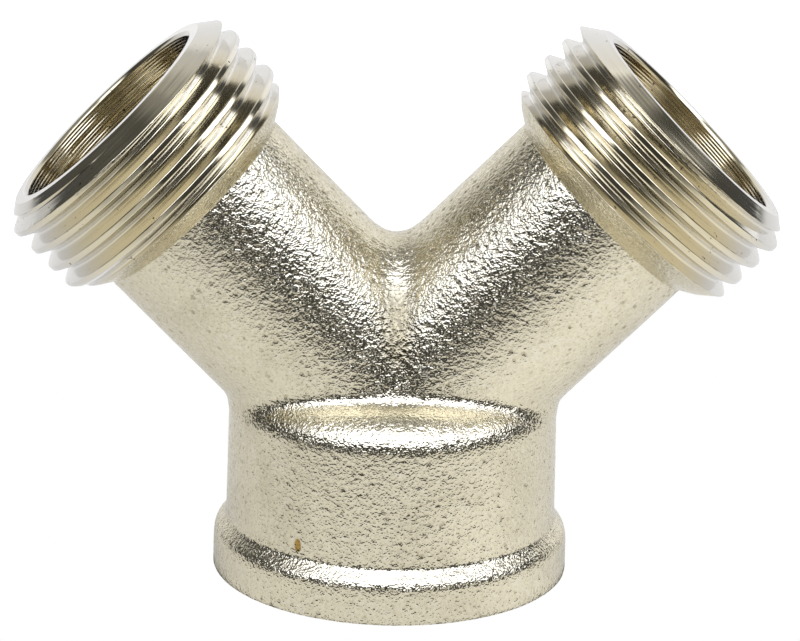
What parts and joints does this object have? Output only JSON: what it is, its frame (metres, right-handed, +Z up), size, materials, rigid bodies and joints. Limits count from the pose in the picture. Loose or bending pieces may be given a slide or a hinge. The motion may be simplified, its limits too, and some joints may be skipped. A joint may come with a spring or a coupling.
{
  "type": "hose splitter",
  "caption": "Y-shaped hose splitter: a round threaded female inlet socket below, parting into male threaded outlets that lean apart at right angles, with a flat sealing washer in the inlet.",
  "frame": {"origin": "centre of the inlet's bottom face, on the inlet axis", "axes": "+Z up along the inlet axis towards the outlets; the outlets lean apart in the XZ plane, the left one towards -X and the right one towards +X; -Y is the front"},
  "size_m": [0.07, 0.033, 0.0513],
  "materials": {
    "nickel_plated_brass": "warm nickel plating over a shot-blasted forging, with bright machined threads, faces and bores",
    "washer_rubber": "matt black moulded rubber"
  },
  "bodies": {
    "body": {"splitter_body": "nickel_plated_brass"},
    "washer": {"inlet_washer": "washer_rubber"}
  },
  "joints": [
    {"name": "washer_removal", "type": "slide", "parent": "body", "child": "washer", "axis": [0, 0, -1], "range_m": [0, 0.018]}
  ]
}
